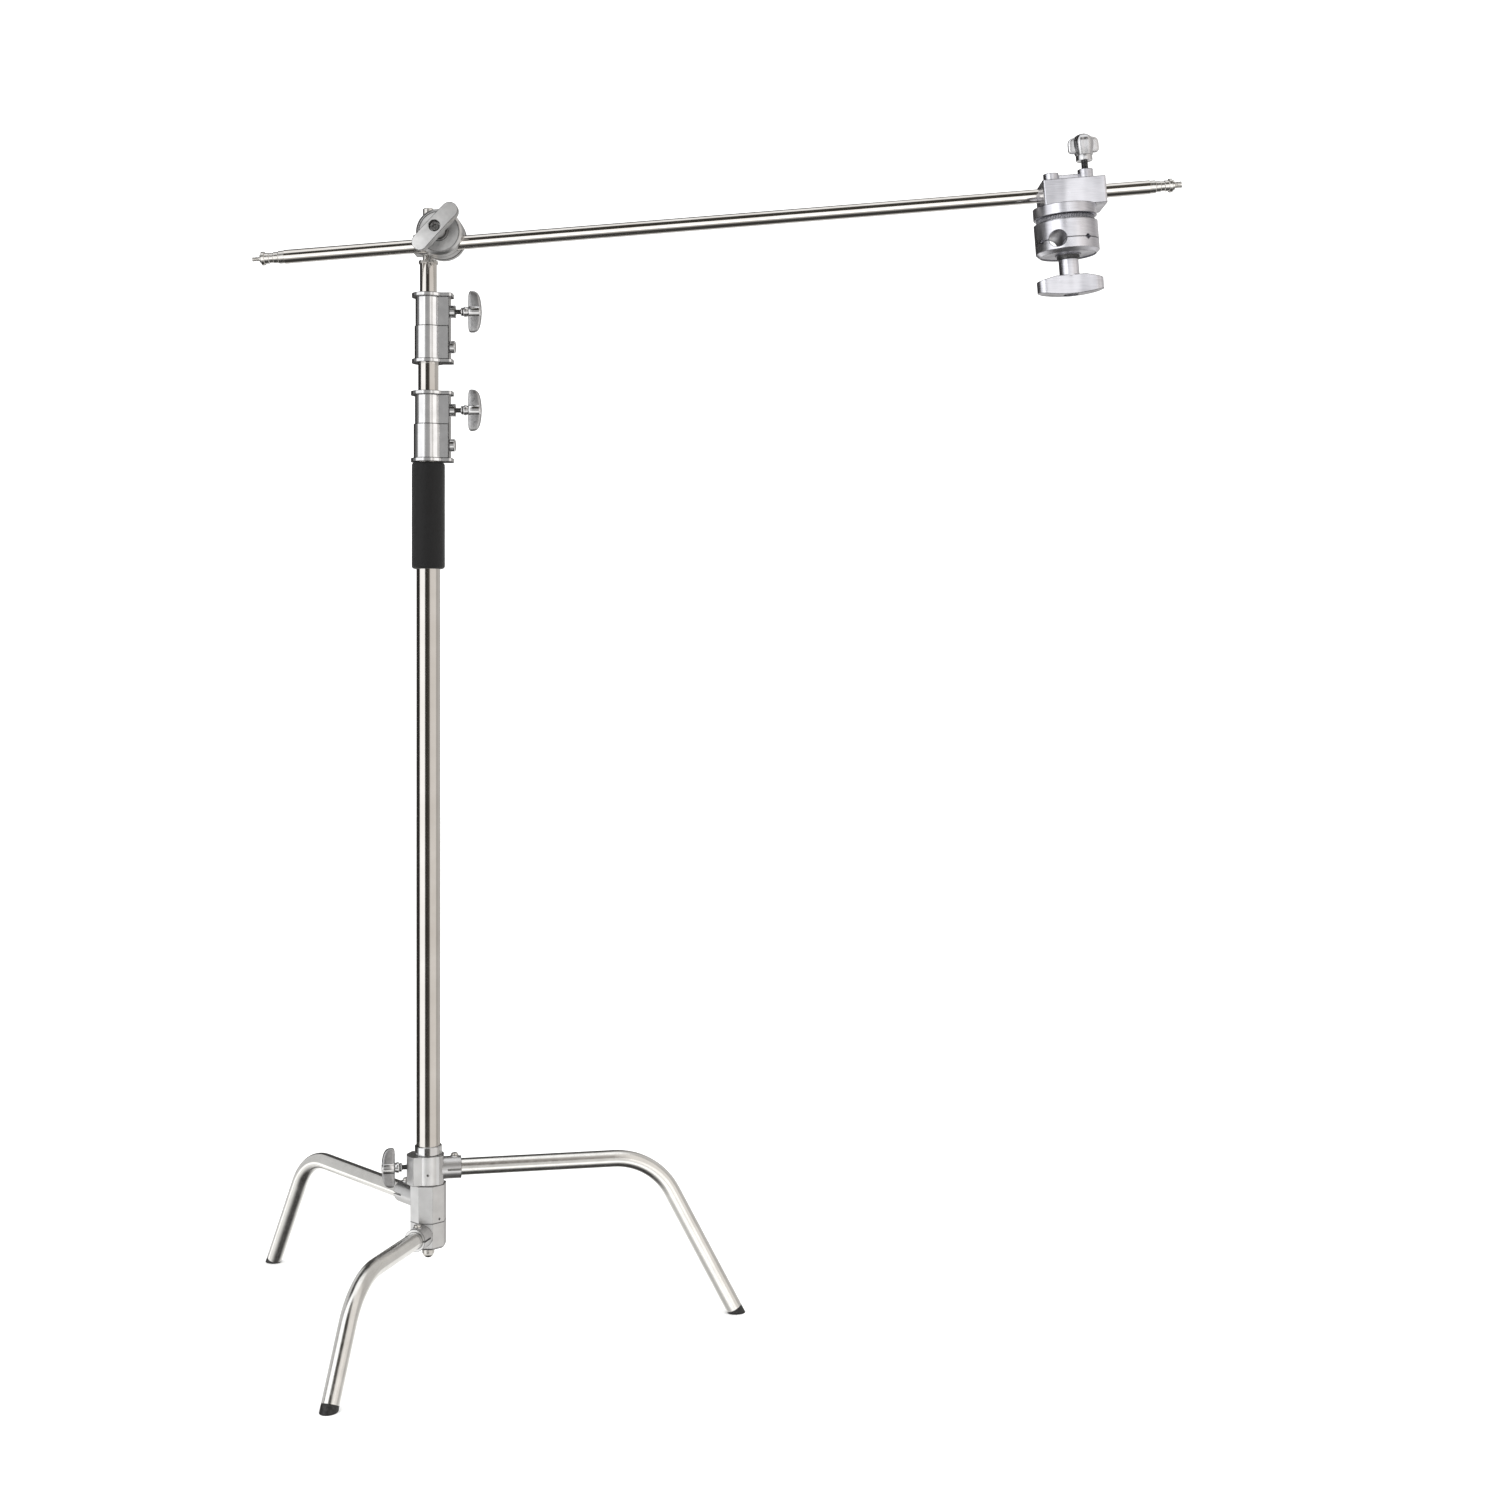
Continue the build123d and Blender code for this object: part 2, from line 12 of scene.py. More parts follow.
import bpy
import numpy as np
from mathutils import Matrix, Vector


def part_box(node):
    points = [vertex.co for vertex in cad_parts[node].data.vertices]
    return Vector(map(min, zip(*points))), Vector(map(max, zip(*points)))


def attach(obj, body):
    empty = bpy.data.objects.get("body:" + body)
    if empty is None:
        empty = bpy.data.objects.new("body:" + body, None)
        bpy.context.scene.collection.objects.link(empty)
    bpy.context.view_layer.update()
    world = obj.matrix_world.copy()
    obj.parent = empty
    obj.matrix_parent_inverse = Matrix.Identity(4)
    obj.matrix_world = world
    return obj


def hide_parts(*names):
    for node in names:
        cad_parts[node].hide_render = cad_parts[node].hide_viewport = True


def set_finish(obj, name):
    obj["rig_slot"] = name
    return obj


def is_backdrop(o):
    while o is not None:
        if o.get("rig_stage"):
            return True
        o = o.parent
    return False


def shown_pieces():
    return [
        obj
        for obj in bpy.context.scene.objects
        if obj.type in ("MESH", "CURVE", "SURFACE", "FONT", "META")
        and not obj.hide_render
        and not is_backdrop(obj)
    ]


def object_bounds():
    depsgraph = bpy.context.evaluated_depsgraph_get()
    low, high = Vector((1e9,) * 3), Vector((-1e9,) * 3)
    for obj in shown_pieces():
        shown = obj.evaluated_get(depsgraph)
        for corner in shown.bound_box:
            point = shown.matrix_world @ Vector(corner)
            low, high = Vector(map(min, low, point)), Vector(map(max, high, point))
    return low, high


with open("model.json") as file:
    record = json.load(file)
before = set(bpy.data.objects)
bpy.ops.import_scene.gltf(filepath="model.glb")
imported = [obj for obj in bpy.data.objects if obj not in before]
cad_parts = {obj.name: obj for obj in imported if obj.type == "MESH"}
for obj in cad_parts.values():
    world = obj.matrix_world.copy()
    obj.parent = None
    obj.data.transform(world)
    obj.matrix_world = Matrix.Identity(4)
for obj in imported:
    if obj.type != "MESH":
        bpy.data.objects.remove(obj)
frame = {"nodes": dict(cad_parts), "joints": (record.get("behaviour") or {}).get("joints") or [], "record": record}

MM = 0.001
cad_low, cad_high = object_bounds()
nodes = frame["nodes"]
joints = {j["name"]: j for j in frame["joints"]}
body_of_node = {n: b for b, members in frame["record"]["behaviour"]["bodies"].items() for n in members}
slot_of_node = {s["node"]: s["material_slot"] for s in frame["record"]["subparts"]}
print("loaded", len(nodes), "pieces, size in metres", [round(v, 3) for v in cad_high - cad_low])

# %% [markdown]
# The camera stands three metres off, level, about a metre above the floor. It
# isn't tilted, because that would make the column lean: a small vertical shift
# of the lens takes in the feet instead, as on a view camera.

# %% camera
SENSOR_MM = 36.0
LENS_MM = 48.55
LENS_SHIFT = -0.07
CAMERA_PLACE = (0.477, -3.0, 1.021)

camera_data = bpy.data.cameras.new("camera")
camera_data.sensor_width = SENSOR_MM
camera_data.lens = LENS_MM
camera_data.shift_y = LENS_SHIFT
camera_data.clip_start = 0.05
camera_data.clip_end = 100.0
camera = bpy.data.objects.new("camera", camera_data)
camera.location = CAMERA_PLACE
camera.rotation_euler = (math.pi / 2, 0.0, 0.0)
bpy.context.scene.collection.objects.link(camera)
bpy.context.scene.camera = camera
print("camera at", CAMERA_PLACE, "with a", LENS_MM, "mm lens")

# %% [markdown]
# Colours are easiest to pick as hex codes, which are in sRGB, but shaders
# work in linear light. One function turns one into the other. A second one
# adds a node, sets it and links it, so that a material reads like a recipe.

# %% colour and node helpers
def linear(code):
    """sRGB hex to linear light: the standard curve, a straight toe and a 2.4 power."""
    values = [int(code[i:i + 2], 16) / 255 for i in (1, 3, 5)]
    bright = [v / 12.92 if v <= 0.04045 else ((v + 0.055) / 1.055) ** 2.4 for v in values]
    return (*bright, 1.0)


def add(tree, kind, inputs=None, **settings):
    """Adds a node. Settings are its attributes, and inputs are values or the sockets to link."""
    made = tree.nodes.new(kind)
    for name, value in settings.items():
        setattr(made, name, value)
    for name, value in (inputs or {}).items():
        if isinstance(value, bpy.types.NodeSocket):
            tree.links.new(value, made.inputs[name])
        else:
            made.inputs[name].default_value = value
    return made


def ramp(tree, factor, stops, interpolation="LINEAR"):
    """Sets a colour ramp's stops from (place, hex colour) pairs and returns its colour."""
    made = add(tree, "ShaderNodeValToRGB", {"Fac": factor})
    made.color_ramp.interpolation = interpolation
    elements = made.color_ramp.elements
    for element, (place, code) in zip(elements, (stops[0], stops[-1])):
        element.position = place
        element.color = linear(code)
    for place, code in stops[1:-1]:
        elements.new(place).color = linear(code)
    return made.outputs["Color"]


def remap(tree, value, low, high, floor=0.3, ceiling=0.7):
    """Stretches a noise value from between floor and ceiling to between low and high."""
    made = add(tree, "ShaderNodeMapRange", {
        "Value": value, "From Min": floor, "From Max": ceiling, "To Min": low, "To Max": high,
    })
    return made.outputs["Result"]


def finish(name, **sockets):
    """A new material with its main shader's sockets set. Returns the material, tree and shader."""
    material = bpy.data.materials.new(name)
    material.use_nodes = True
    tree = material.node_tree
    shader = tree.nodes["Principled BSDF"]
    for socket, value in sockets.items():
        shader.inputs[socket.replace("_", " ").title().replace("Ior", "IOR")].default_value = value
    return material, tree, shader


print("white is", linear("#FFFFFF"))

# %% [markdown]
# Metal looks like what it mirrors, so the studio is the first half of every
# metal finish here. A photographer lights chrome with big white panels and
# puts black flags between them, which draws clean bright and dark bands down
# a tube. The world does this job for mirrored light, by direction, while the
# camera and the floor see only a plain white studio.

# %% studio surroundings
BACKDROP = "#FFFFFF"
CEILING = "#F4F4F4"
STUDIO_GLOW = 1.42
# angle round the stand from the front in degrees, negative to the left, and the panel's colour
PANELS = [
    (-180, "#3E3D3C"), (-86, "#2A2928"), (-77, "#FFFFFF"), (-28, "#FFFFFF"),
    (-20, "#34322F"), (6, "#3A3834"), (19, "#55514C"), (28, "#CFCBC7"),
    (84, "#D2CECA"), (94, "#A5A29F"), (150, "#B5B3B1"), (180, "#6B6967"),
]
# what lies underfoot: dark straight down, pale from about 37 degrees below the horizon
GROUND = [(0.0, "#3A3938"), (1.0, "#DAD9D7")]

world = bpy.data.worlds.new("studio")
bpy.context.scene.world = world
world.use_nodes = True
tree = world.node_tree
direction = add(tree, "ShaderNodeTexCoord").outputs["Generated"]
parts = add(tree, "ShaderNodeSeparateXYZ", {"Vector": direction})
forward = add(tree, "ShaderNodeMath", {0: parts.outputs["Y"], 1: -1.0}, operation="MULTIPLY")
angle = add(tree, "ShaderNodeMath", {0: parts.outputs["X"], 1: forward.outputs[0]}, operation="ARCTAN2")
turn = add(tree, "ShaderNodeMapRange", {
    "Value": angle.outputs[0], "From Min": -math.pi, "From Max": math.pi,
})
panels = ramp(tree, turn.outputs["Result"], [((a + 180) / 360, c) for a, c in PANELS])
overhead = remap(tree, parts.outputs["Z"], 0.0, 1.0, 0.88, 0.97)
lit_top = add(tree, "ShaderNodeMix", {0: overhead, 6: panels, 7: linear(CEILING)}, data_type="RGBA")
below = remap(tree, parts.outputs["Z"], 1.0, 0.0, -0.36, -0.24)
underfoot = ramp(tree, remap(tree, parts.outputs["Z"], 0.0, 1.0, -0.90, -0.60), GROUND)
lit = add(tree, "ShaderNodeMix", {0: below, 6: lit_top.outputs[2], 7: underfoot}, data_type="RGBA")
seen = add(tree, "ShaderNodeLightPath")
view = add(tree, "ShaderNodeMix", {
    0: seen.outputs["Is Glossy Ray"], 6: linear(BACKDROP), 7: lit.outputs[2],
}, data_type="RGBA")
tree.links.new(view.outputs[2], tree.nodes["Background"].inputs["Color"])
tree.nodes["Background"].inputs["Strength"].default_value = STUDIO_GLOW
# a light sample of the world has no ray type and would see the white studio, so only mirrored rays count
world.cycles.sampling_method = "NONE"
bpy.context.scene.view_settings.view_transform = "Standard"
print("studio has", len(PANELS), "panel edges")

# %% [markdown]
# A soft box is a rectangle of even light. Its glow is the brightness that a
# mirror would show, so its power has to grow with its area. Light linking
# lets a box light only its own pieces, which no real studio can do.

# %% sheets and soft boxes
BOX_DISTANCE = 2.6             # metres from an upright box to the middle that it faces


def flat_sheet(name, half, z):
    """A square sheet: four corners at plus and minus half, at height z."""
    corners = [(-half, -half, z), (half, -half, z), (half, half, z), (-half, half, z)]
    mesh = bpy.data.meshes.new(name)
    mesh.from_pydata(corners, [], [(0, 1, 2, 3)])
    sheet = bpy.data.objects.new(name, mesh)
    bpy.context.scene.collection.objects.link(sheet)
    return sheet


def soft_box(name, place, target, size, glow, mirrored=False):
    """A rectangular area light that faces a point. Its glow is what a mirror would show."""
    width, height = size
    data = bpy.data.lights.new(name, "AREA")
    data.shape = "RECTANGLE"
    data.size = width
    data.size_y = height
    data.energy = math.pi * width * height * glow
    lamp = bpy.data.objects.new(name, data)
    lamp.location = place
    aim = Vector(target) - Vector(place)
    lamp.rotation_euler = aim.to_track_quat("-Z", "Y").to_euler()
    lamp.visible_glossy = mirrored
    lamp.visible_camera = False
    bpy.context.scene.collection.objects.link(lamp)
    return lamp


def panel_box(name, centre, start_deg, end_deg, low, high, glow):
    """An upright soft box that spans two bearings, negative to the left, and two heights.

    Its width is twice the distance times the tangent of half the angle that it spans.
    """
    bearing = math.radians((start_deg + end_deg) / 2)
    width = 2 * BOX_DISTANCE * math.tan(math.radians(end_deg - start_deg) / 2)
    middle = (low + high) / 2
    place = (centre + BOX_DISTANCE * math.sin(bearing), -BOX_DISTANCE * math.cos(bearing), middle)
    return soft_box(name, place, (centre, 0.0, middle), (width, high - low), glow, mirrored=True)


def lights_only(lamp, pieces):
    """Links a light to the pieces that it may light."""
    chosen = bpy.data.collections.new(lamp.name + "_pieces")
    for piece in pieces:
        chosen.objects.link(piece)
    lamp.light_linking.receiver_collection = chosen


print("upright boxes stand", BOX_DISTANCE, "m off")

# %% [markdown]
# The floor is plain and pale. Two large soft boxes overhead light it and give
# the feet a faint contact shadow, so that the stand doesn't float. They stay
# out of the metal's mirror, because the panels already draw it. A third box
# in front draws the arm's long white band. The boxes for the other pieces
# come at the end of the lesson, when every piece exists.

# %% floor and lights
FLOOR_HALF = 9.0
FLOOR_GAP = 0.0005             # metres below the feet, so that the two never share a plane
FLOOR_PAINT = [(0.3, "#F6F6F5"), (0.7, "#F9F9F9")]

floor = flat_sheet("floor", FLOOR_HALF, cad_low.z - FLOOR_GAP)
floor_paint, tree, shader = finish("floor_paint", roughness=0.9)
place = add(tree, "ShaderNodeTexCoord").outputs["Object"]
mottle = add(tree, "ShaderNodeTexNoise", {"Vector": place, "Scale": 1.5, "Detail": 3.0})
tree.links.new(ramp(tree, mottle.outputs["Fac"], FLOOR_PAINT), shader.inputs["Base Color"])
floor.data.materials.append(floor_paint)
floor.visible_glossy = False
floor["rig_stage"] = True
soft_box("box_left", (-2.4, -2.2, 3.6), (0.2, 0.0, 0.4), (2.6, 2.6), 1.6)
soft_box("box_right", (3.2, -1.6, 3.4), (0.3, 0.0, 0.6), (2.6, 2.6), 1.2)
arm_box = soft_box("arm_box", (0.5, -2.7, 1.30), (0.5, 0.0, 1.30), (4.2, 2.4), 1.5, mirrored=True)
print("floor", 2 * FLOOR_HALF, "m wide")

# %% [markdown]
# Every edge on the real castings is broken: a sharp corner would cut a hand
# and would not take plating. The Bevel node rounds the shading of the CAD
# pieces' edges by that much, so that they catch a line of light, and the Bump
# node adds the surface's own grain on top. Where a dark edge colour is given,
# it paints shade and a dark reflection into the edges and corners.

# %% surface helper
def grain(tree, shader, height, depth_mm, edge_mm=0.0, painted_edge_shade=None):
    """Bends the shading by a height pattern of the given depth, over edges rounded by edge_mm.

    Where a dark colour is given, it paints shade and a dark reflection into the edges and
    corners: the mask is how far the rounded normal leans from the true one, as their dot product.
    """
    bump = add(tree, "ShaderNodeBump", {"Height": height, "Strength": 1.0, "Distance": depth_mm * MM})
    if edge_mm:
        rounded = add(tree, "ShaderNodeBevel", {"Radius": edge_mm * MM}, samples=6)
        tree.links.new(rounded.outputs["Normal"], bump.inputs["Normal"])
    # painted shade: edges and corners are darkened towards the given colour, standing in for shadow and dark
    # reflection
    if painted_edge_shade:
        wide = add(tree, "ShaderNodeBevel", {"Radius": 2 * edge_mm * MM}, samples=8).outputs["Normal"]
        flat = add(tree, "ShaderNodeNewGeometry").outputs["Normal"]
        lean = add(tree, "ShaderNodeVectorMath", {0: wide, 1: flat}, operation="DOT_PRODUCT")
        edge_shade_mask = remap(tree, lean.outputs["Value"], 1.0, 0.0, 0.86, 0.985)
        plain = shader.inputs["Base Color"].links[0].from_socket
        edge_shaded = add(tree, "ShaderNodeMix", {0: edge_shade_mask, 6: plain, 7: linear(painted_edge_shade)}, data_type="RGBA")
        tree.links.new(edge_shaded.outputs[2], shader.inputs["Base Color"])
    tree.links.new(bump.outputs["Normal"], shader.inputs["Normal"])


def pattern(tree, size_mm, stretch=(1.0, 1.0, 1.0), lean=0.0, detail=4.0):
    """Noise whose grains are size_mm wide, drawn out by stretch, on a frame leant about Y."""
    place = add(tree, "ShaderNodeTexCoord").outputs["Object"]
    scale = [1.0 / s for s in stretch]
    mapped = add(tree, "ShaderNodeMapping", {"Vector": place, "Rotation": (0.0, lean, 0.0), "Scale": scale})
    noise = add(tree, "ShaderNodeTexNoise", {
        "Vector": mapped.outputs["Vector"], "Scale": 1.0 / (size_mm * MM), "Detail": detail,
    })
    return noise.outputs["Fac"]


# %% [markdown]
# The tubes are stainless steel, drawn and then polished on a belt. That
# leaves a near mirror with faint rings round the tube. A noise drawn out
# sideways gives the rings, and a coarse one varies how sharp the mirror is.

# %% polished tubes
ARM_SLOPE = math.radians(4.6)  # how far the arm rises towards its long end


def polished_tube():
    """Belt-polished stainless: bright, slightly warm, with a soft-edged reflection."""
    material, tree, shader = finish("polished_stainless_tube", metallic=1.0)
    rings = pattern(tree, 0.8, stretch=(30.0, 30.0, 1.0))
    smear = pattern(tree, 45.0)
    tint = ramp(tree, smear, [(0.3, "#CFCBC6"), (0.7, "#DAD7D3")])
    tree.links.new(tint, shader.inputs["Base Color"])
    tree.links.new(remap(tree, smear, 0.07, 0.12), shader.inputs["Roughness"])
    grain(tree, shader, rings, 0.003)
    return material


def satin_leg_tube():
    """The same tube on the legs, left with a softer satin from handling on the floor."""
    material, tree, shader = finish("satin_stainless_leg", metallic=1.0)
    smear = pattern(tree, 30.0)
    scratches = pattern(tree, 0.7, stretch=(12.0, 12.0, 12.0), detail=6.0)
    tint = ramp(tree, smear, [(0.3, "#E0DFDC"), (0.7, "#ECEBE8")])
    tree.links.new(tint, shader.inputs["Base Color"])
    tree.links.new(remap(tree, scratches, 0.16, 0.26), shader.inputs["Roughness"])
    grain(tree, shader, scratches, 0.006)
    return material


def turned_steel():
    """Bright turned steel: fine tool rings round the sloping arm's axis."""
    material, tree, shader = finish("turned_bright_steel", metallic=1.0)
    rings = pattern(tree, 0.7, stretch=(1.0, 20.0, 20.0), lean=ARM_SLOPE)
    tree.links.new(ramp(tree, rings, [(0.3, "#BDBBB7"), (0.7, "#D6D4D1")]), shader.inputs["Base Color"])
    tree.links.new(remap(tree, rings, 0.16, 0.28), shader.inputs["Roughness"])
    grain(tree, shader, rings, 0.012, 0.25)
    return material


looks = {
    "column": polished_tube(),
    "legs": satin_leg_tube(),
    "turned_steel": turned_steel(),
}
print("made", [m.name for m in looks.values()])

# %% [markdown]
# The riser collars are die castings, polished and chrome plated. Plating
# follows every ripple of the casting, so the mirror is sharp but never quite
# flat. The knob wings have the same plate on a pebbled skin, which breaks the
# mirror into a grey sparkle. The heads' lock knobs lie between the two.

# %% plated castings
CELL_MM = 0.9                  # width of a pebble here, and of a cell in the foam grip


def chrome_plate():
    """Bright chrome over a polished casting: sharp mirror, slow ripples."""
    material, tree, shader = finish("chrome_plated_casting", metallic=1.0)
    ripple = pattern(tree, 14.0, detail=1.0)
    fine = pattern(tree, 1.5)
    tree.links.new(ramp(tree, ripple, [(0.3, "#D3D3D4"), (0.7, "#DFDFE0")]), shader.inputs["Base Color"])
    tree.links.new(remap(tree, fine, 0.07, 0.13), shader.inputs["Roughness"])
    # the dark colour is painted shade and dark reflection along the edges and corners
    grain(tree, shader, ripple, 0.06, 1.3, painted_edge_shade="#3C3C3D")
    return material


def pebbled_chrome():
    """Chrome on an unpolished cast skin, with pebbles of the size above."""
    material, tree, shader = finish("pebbled_chrome_knob", metallic=1.0)
    place = add(tree, "ShaderNodeTexCoord").outputs["Object"]
    cells = add(tree, "ShaderNodeTexVoronoi", {"Vector": place, "Scale": 1.0 / (CELL_MM * MM)})
    skin = pattern(tree, 6.0)
    tree.links.new(ramp(tree, skin, [(0.3, "#9C9C9D"), (0.7, "#B4B4B5")]), shader.inputs["Base Color"])
    tree.links.new(remap(tree, skin, 0.26, 0.36), shader.inputs["Roughness"])
    grain(tree, shader, cells.outputs["Distance"], 0.12)
    return material


def plated_fastener():
    """Nickel-plated fasteners: bright, with light handling marks."""
    material, tree, shader = finish("nickel_plated_fastener", metallic=1.0)
    marks = pattern(tree, 2.0, detail=6.0)
    tree.links.new(ramp(tree, marks, [(0.35, "#C9C6C1"), (0.7, "#DEDCD8")]), shader.inputs["Base Color"])
    tree.links.new(remap(tree, marks, 0.12, 0.24), shader.inputs["Roughness"])
    grain(tree, shader, marks, 0.01, 0.4)
    return material


def lock_knob():
    """The heads' lock knobs: satin chrome on a casting smoother than the pebbled one."""
    material, tree, shader = finish("satin_chrome_lock_knob", metallic=1.0)
    cloud = pattern(tree, 4.0)
    tree.links.new(ramp(tree, cloud, [(0.3, "#C4C4C6"), (0.7, "#D2D2D4")]), shader.inputs["Base Color"])
    tree.links.new(remap(tree, cloud, 0.22, 0.32), shader.inputs["Roughness"])
    grain(tree, shader, cloud, 0.03)
    return material


looks["lock_knob"] = lock_knob()
looks["chrome_plate"] = chrome_plate()
looks["cast_knob"] = pebbled_chrome()
looks["plated_fasteners"] = plated_fastener()
print("made", len(looks), "finishes so far")

# %% [markdown]
# The base castings and the first head are tumbled aluminium: an even satin
# with a fine grain. The second head is turned and brushed from the solid, so
# it carries fine level lines and a cooler colour.

# %% satin and brushed aluminium
def satin_casting():
    """Tumbled aluminium casting: grains about 0.5 mm, coarser than real so that they show."""
    material, tree, shader = finish("tumbled_aluminium_casting", metallic=1.0)
    fine = pattern(tree, 0.5, detail=5.0)
    cloud = pattern(tree, 18.0)
    tree.links.new(ramp(tree, cloud, [(0.3, "#C6C6C6"), (0.7, "#D2D2D2")]), shader.inputs["Base Color"])
    tree.links.new(remap(tree, fine, 0.30, 0.42), shader.inputs["Roughness"])
    # the dark colour is painted shade and dark reflection along the edges and corners
    grain(tree, shader, fine, 0.03, 1.0, painted_edge_shade="#5C5C5C")
    return material


def head_casting():
    """The first head's casting: the same tumbling, a little darker and smoother."""
    material, tree, shader = finish("satin_head_casting", metallic=1.0)
    fine = pattern(tree, 0.5, detail=5.0)
    cloud = pattern(tree, 12.0)
    tree.links.new(ramp(tree, cloud, [(0.3, "#BEBEBE"), (0.7, "#D2D2D2")]), shader.inputs["Base Color"])
    tree.links.new(remap(tree, fine, 0.28, 0.40), shader.inputs["Roughness"])
    # the dark colour is painted shade and dark reflection along the edges and corners
    grain(tree, shader, fine, 0.03, 1.2, painted_edge_shade="#454545")
    return material


def brushed_head():
    """Turned and brushed aluminium: level lines 0.6 mm apart that follow the arm's slope.

    Broad upright bands of lighter and darker tone across the face are partly brushing and
    partly painted reflection bands.
    """
    material, tree, shader = finish("brushed_aluminium_head", metallic=1.0)
    lines = pattern(tree, 0.6, stretch=(40.0, 40.0, 1.0), lean=ARM_SLOPE, detail=5.0)
    cloud = pattern(tree, 20.0)
    # partly painted reflection: broad upright bands of tone, partly from the brushing, partly standing in for the
    # reflection bands of the brushed face
    brush_and_reflection_bands = pattern(tree, 26.0, stretch=(1.0, 1.0, 8.0), detail=1.0)
    lines_and_bands = add(tree, "ShaderNodeMix", {"Factor": 0.7, "A": lines, "B": brush_and_reflection_bands})
    tint = ramp(tree, lines_and_bands.outputs["Result"], [(0.36, "#A6A6AC"), (0.62, "#E2E2E8")])
    tree.links.new(tint, shader.inputs["Base Color"])
    tree.links.new(remap(tree, cloud, 0.26, 0.36), shader.inputs["Roughness"])
    # the dark colour is painted shade and dark reflection along the edges and corners
    grain(tree, shader, lines, 0.03, 1.2, painted_edge_shade="#505054")
    return material


looks["satin_casting"] = satin_casting()
looks["head_casting"] = head_casting()
looks["brushed_head"] = brushed_head()
print("made", len(looks), "finishes so far")

# %% [markdown]
# The rest is small or dark: oiled steel screws, the foam grip, the rubber
# feet, the nylon guides and the brass shoes that press on the tubes.

# %% small parts' finishes
def screw_steel():
    """Blackened steel screws, rubbed bright on the crests of the thread."""
    material, tree, shader = finish("blackened_steel_screw", metallic=1.0)
    wear = pattern(tree, 1.2, detail=6.0)
    tree.links.new(ramp(tree, wear, [(0.4, "#4A4A4A"), (0.75, "#8A8988")]), shader.inputs["Base Color"])
    tree.links.new(remap(tree, wear, 0.42, 0.28), shader.inputs["Roughness"])
    grain(tree, shader, wear, 0.02, 0.3)
    return material


def foam_grip():
    """Closed-cell foam rubber: matte black, with its cells drawn large so that they show."""
    material, tree, shader = finish(
        "black_foam_rubber", specular_ior_level=0.35, sheen_weight=0.12, sheen_roughness=0.4
    )
    place = add(tree, "ShaderNodeTexCoord").outputs["Object"]
    cells = add(tree, "ShaderNodeTexVoronoi", {"Vector": place, "Scale": 1.0 / (CELL_MM * MM)})
    cloud = pattern(tree, 9.0)
    tree.links.new(ramp(tree, cloud, [(0.3, "#0E0E0F"), (0.7, "#141415")]), shader.inputs["Base Color"])
    tree.links.new(remap(tree, cloud, 0.55, 0.68), shader.inputs["Roughness"])
    grain(tree, shader, cells.outputs["Distance"], 0.25)
    return material


def foot_rubber():
    """Moulded rubber plugs, scuffed grey where they rub the floor."""
    material, tree, shader = finish("moulded_black_rubber")
    scuff = pattern(tree, 2.5, detail=7.0)
    tree.links.new(ramp(tree, scuff, [(0.45, "#171717"), (0.75, "#383736")]), shader.inputs["Base Color"])
    tree.links.new(remap(tree, scuff, 0.42, 0.62), shader.inputs["Roughness"])
    grain(tree, shader, scuff, 0.08, 0.8)
    return material


def nylon():
    """Natural nylon guides, only seen at the collars' mouths."""
    material, tree, shader = finish("natural_nylon", subsurface_weight=0.1)
    cloud = pattern(tree, 5.0)
    tree.links.new(ramp(tree, cloud, [(0.3, "#D8D5CA"), (0.7, "#E4E2D8")]), shader.inputs["Base Color"])
    tree.links.new(remap(tree, cloud, 0.38, 0.5), shader.inputs["Roughness"])
    grain(tree, shader, cloud, 0.02)
    return material


def brass():
    """Sawn brass shoes with a dulled face."""
    material, tree, shader = finish("sawn_brass", metallic=1.0)
    saw = pattern(tree, 0.5, stretch=(1.0, 8.0, 8.0))
    tree.links.new(ramp(tree, saw, [(0.3, "#A8853E"), (0.7, "#C9A85B")]), shader.inputs["Base Color"])
    tree.links.new(remap(tree, saw, 0.32, 0.45), shader.inputs["Roughness"])
    grain(tree, shader, saw, 0.02)
    return material


looks["screw_steel"] = screw_steel()
looks["grip_rubber"] = foam_grip()
looks["foot_plug"] = foot_rubber()
looks["nylon_guide"] = nylon()
looks["brass_shoe"] = brass()
for name, piece in nodes.items():
    slot = slot_of_node[name]
    if slot == "polished_tube":
        slot = "legs" if "leg" in name else "column"
    piece.data.materials.clear()
    piece.data.materials.append(looks[slot])
print("painted", len(nodes), "CAD pieces with", len(looks), "finishes")

# %% [markdown]
# The finer pieces are all stacks of closed rings, so one function skins any
# of them. Rows are rings along the piece and columns are points round it;
# quads join each ring to the next one, and a fan closes each end. A hollow
# piece needs no ends: its last ring joins its first one.

